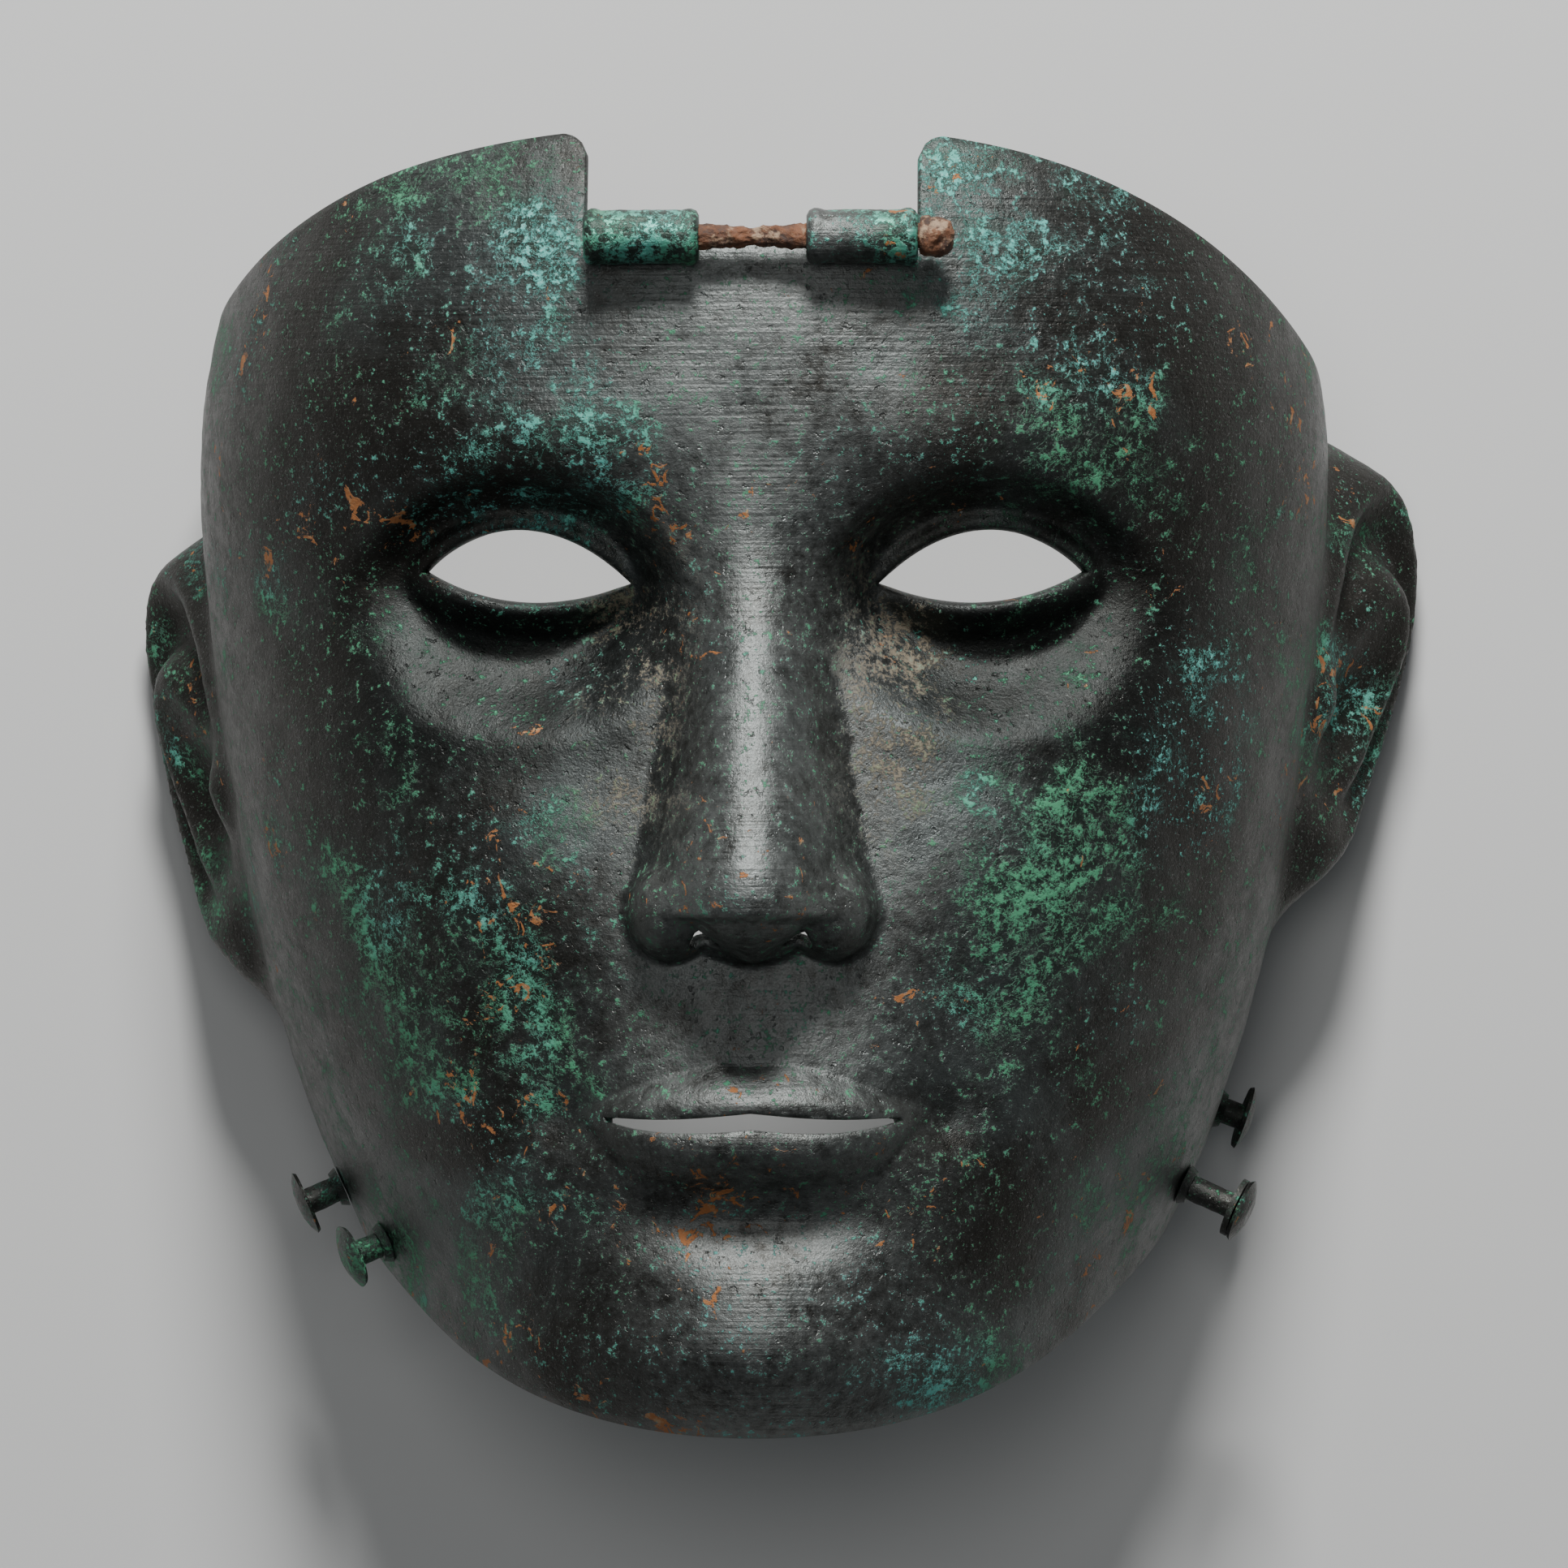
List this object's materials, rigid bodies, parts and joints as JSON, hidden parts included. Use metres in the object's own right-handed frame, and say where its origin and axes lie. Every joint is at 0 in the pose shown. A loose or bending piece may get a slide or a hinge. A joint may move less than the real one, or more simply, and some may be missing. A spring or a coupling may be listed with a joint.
{
  "type": "roman parade mask",
  "caption": "Hollow bronze face mask with raised ears, eye openings, a forehead hinge with its iron pin, and strap studs at the jaw, lying on its back rim.",
  "frame": {"origin": "bottom centre of the bounding box, in the plane of the back rim", "axes": "+Z out of the face, +Y up the face to the forehead hinge, +X to the viewer's right as the face is looked at"},
  "size_m": [0.1976, 0.1929, 0.1209],
  "materials": {
    "sheet_bronze": "dark green and brown patina, satin",
    "hinge_bronze": "bright green corrosion",
    "pin_iron": "rust",
    "stud_bronze": "dark patina, worn edges"
  },
  "bodies": {
    "root": {"mask": "sheet_bronze", "hinge_knuckle_left": "hinge_bronze", "hinge_knuckle_right": "hinge_bronze", "hinge_pin": "pin_iron", "stud_left_upper": "stud_bronze", "stud_left_lower": "stud_bronze", "stud_right_upper": "stud_bronze", "stud_right_lower": "stud_bronze", "stud_right_lower_rove": "stud_bronze"}
  },
  "joints": []
}
